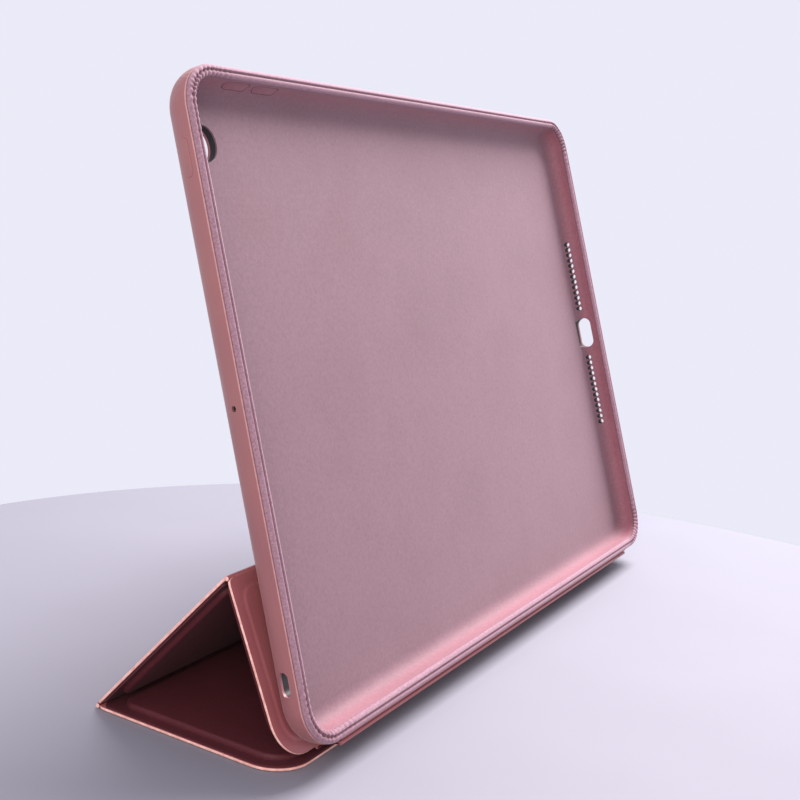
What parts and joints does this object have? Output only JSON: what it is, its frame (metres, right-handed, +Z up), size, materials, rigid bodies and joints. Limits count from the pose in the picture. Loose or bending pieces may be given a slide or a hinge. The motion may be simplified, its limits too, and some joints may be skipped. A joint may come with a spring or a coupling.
{
  "type": "tablet case",
  "caption": "Folding tablet case: moulded leather-covered tray with a soft-hinged panel cover, shown folded behind the tray as a triangular stand.",
  "frame": {"origin": "centre of the case's footprint, on the table it stands on", "axes": "+X along the tray, from its camera end to its port end; +Y backwards, away from the tray's open front; +Z up"},
  "size_m": [0.247, 0.0706, 0.1742],
  "materials": {
    "tray_leather": "fine grained, satin",
    "cover_leather": "fine grained, satin",
    "microfibre": "short soft nap",
    "rim_cloth": "rolled and pressed microfibre",
    "shell": "dark moulded shell",
    "board": "dense fibreboard",
    "steel": "nickel plated"
  },
  "bodies": {
    "tray": {"tray_skin": "tray_leather", "tray_shell": "shell", "tray_lining": "microfibre", "rim_binding": "rim_cloth", "hinge_root_strip": "cover_leather"},
    "volume_up": {"volume_up_button": "tray_leather"},
    "volume_down": {"volume_down_button": "tray_leather"},
    "power": {"power_button": "tray_leather"},
    "spine": {"spine_skin": "cover_leather", "spine_lining": "microfibre"},
    "panel_1": {"panel_1_skin": "cover_leather", "panel_1_board": "board", "panel_1_lining": "microfibre", "panel_1_keeper_strip": "steel"},
    "panel_2": {"panel_2_skin": "cover_leather", "panel_2_board": "board", "panel_2_lining": "microfibre", "fold_1_skin": "cover_leather", "fold_1_lining": "microfibre"},
    "panel_3": {"panel_3_skin": "cover_leather", "panel_3_board": "board", "panel_3_lining": "microfibre", "fold_2_skin": "cover_leather", "fold_2_lining": "microfibre", "edge_magnet_1": "steel", "edge_magnet_2": "steel", "edge_magnet_3": "steel", "edge_magnet_4": "steel", "wake_magnet": "steel"}
  },
  "joints": [
    {"name": "cover_swing", "type": "hinge", "parent": "tray", "child": "spine", "pos_m": [0, -0.03318, 0.00588], "axis": [-1, 0, 0], "range_deg": [0, 209.14]},
    {"name": "panel_1_hinge", "type": "hinge", "parent": "spine", "child": "panel_1", "pos_m": [0, -0.02626, 0.0026], "axis": [-1, 0, 0], "range_deg": [0, 143.6]},
    {"name": "fold_1_hinge", "type": "hinge", "parent": "panel_1", "child": "panel_2", "pos_m": [0, -0.00475, 0.04662], "axis": [1, 0, 0], "range_deg": [0, 113.5]},
    {"name": "fold_2_hinge", "type": "hinge", "parent": "panel_2", "child": "panel_3", "pos_m": [0, 0.03464, 0.0007], "axis": [1, 0, 0], "range_deg": [0, 130.8]},
    {"name": "volume_up_press", "type": "slide", "parent": "tray", "child": "volume_up", "axis": [0, -0.319, -0.9478], "range_m": [0, 0.0006], "stiffness_N_per_m": 400},
    {"name": "volume_down_press", "type": "slide", "parent": "tray", "child": "volume_down", "axis": [0, -0.319, -0.9478], "range_m": [0, 0.0006], "stiffness_N_per_m": 400},
    {"name": "power_press", "type": "slide", "parent": "tray", "child": "power", "axis": [1, 0, 0], "range_m": [0, 0.0006], "stiffness_N_per_m": 400}
  ],
  "couplings": [
    {"joint": "panel_1_hinge", "follows": "cover_swing", "ratio": 0.68574},
    {"joint": "fold_1_hinge", "follows": "cover_swing", "ratio": 0.54193},
    {"joint": "fold_2_hinge", "follows": "cover_swing", "ratio": 0.62455}
  ]
}
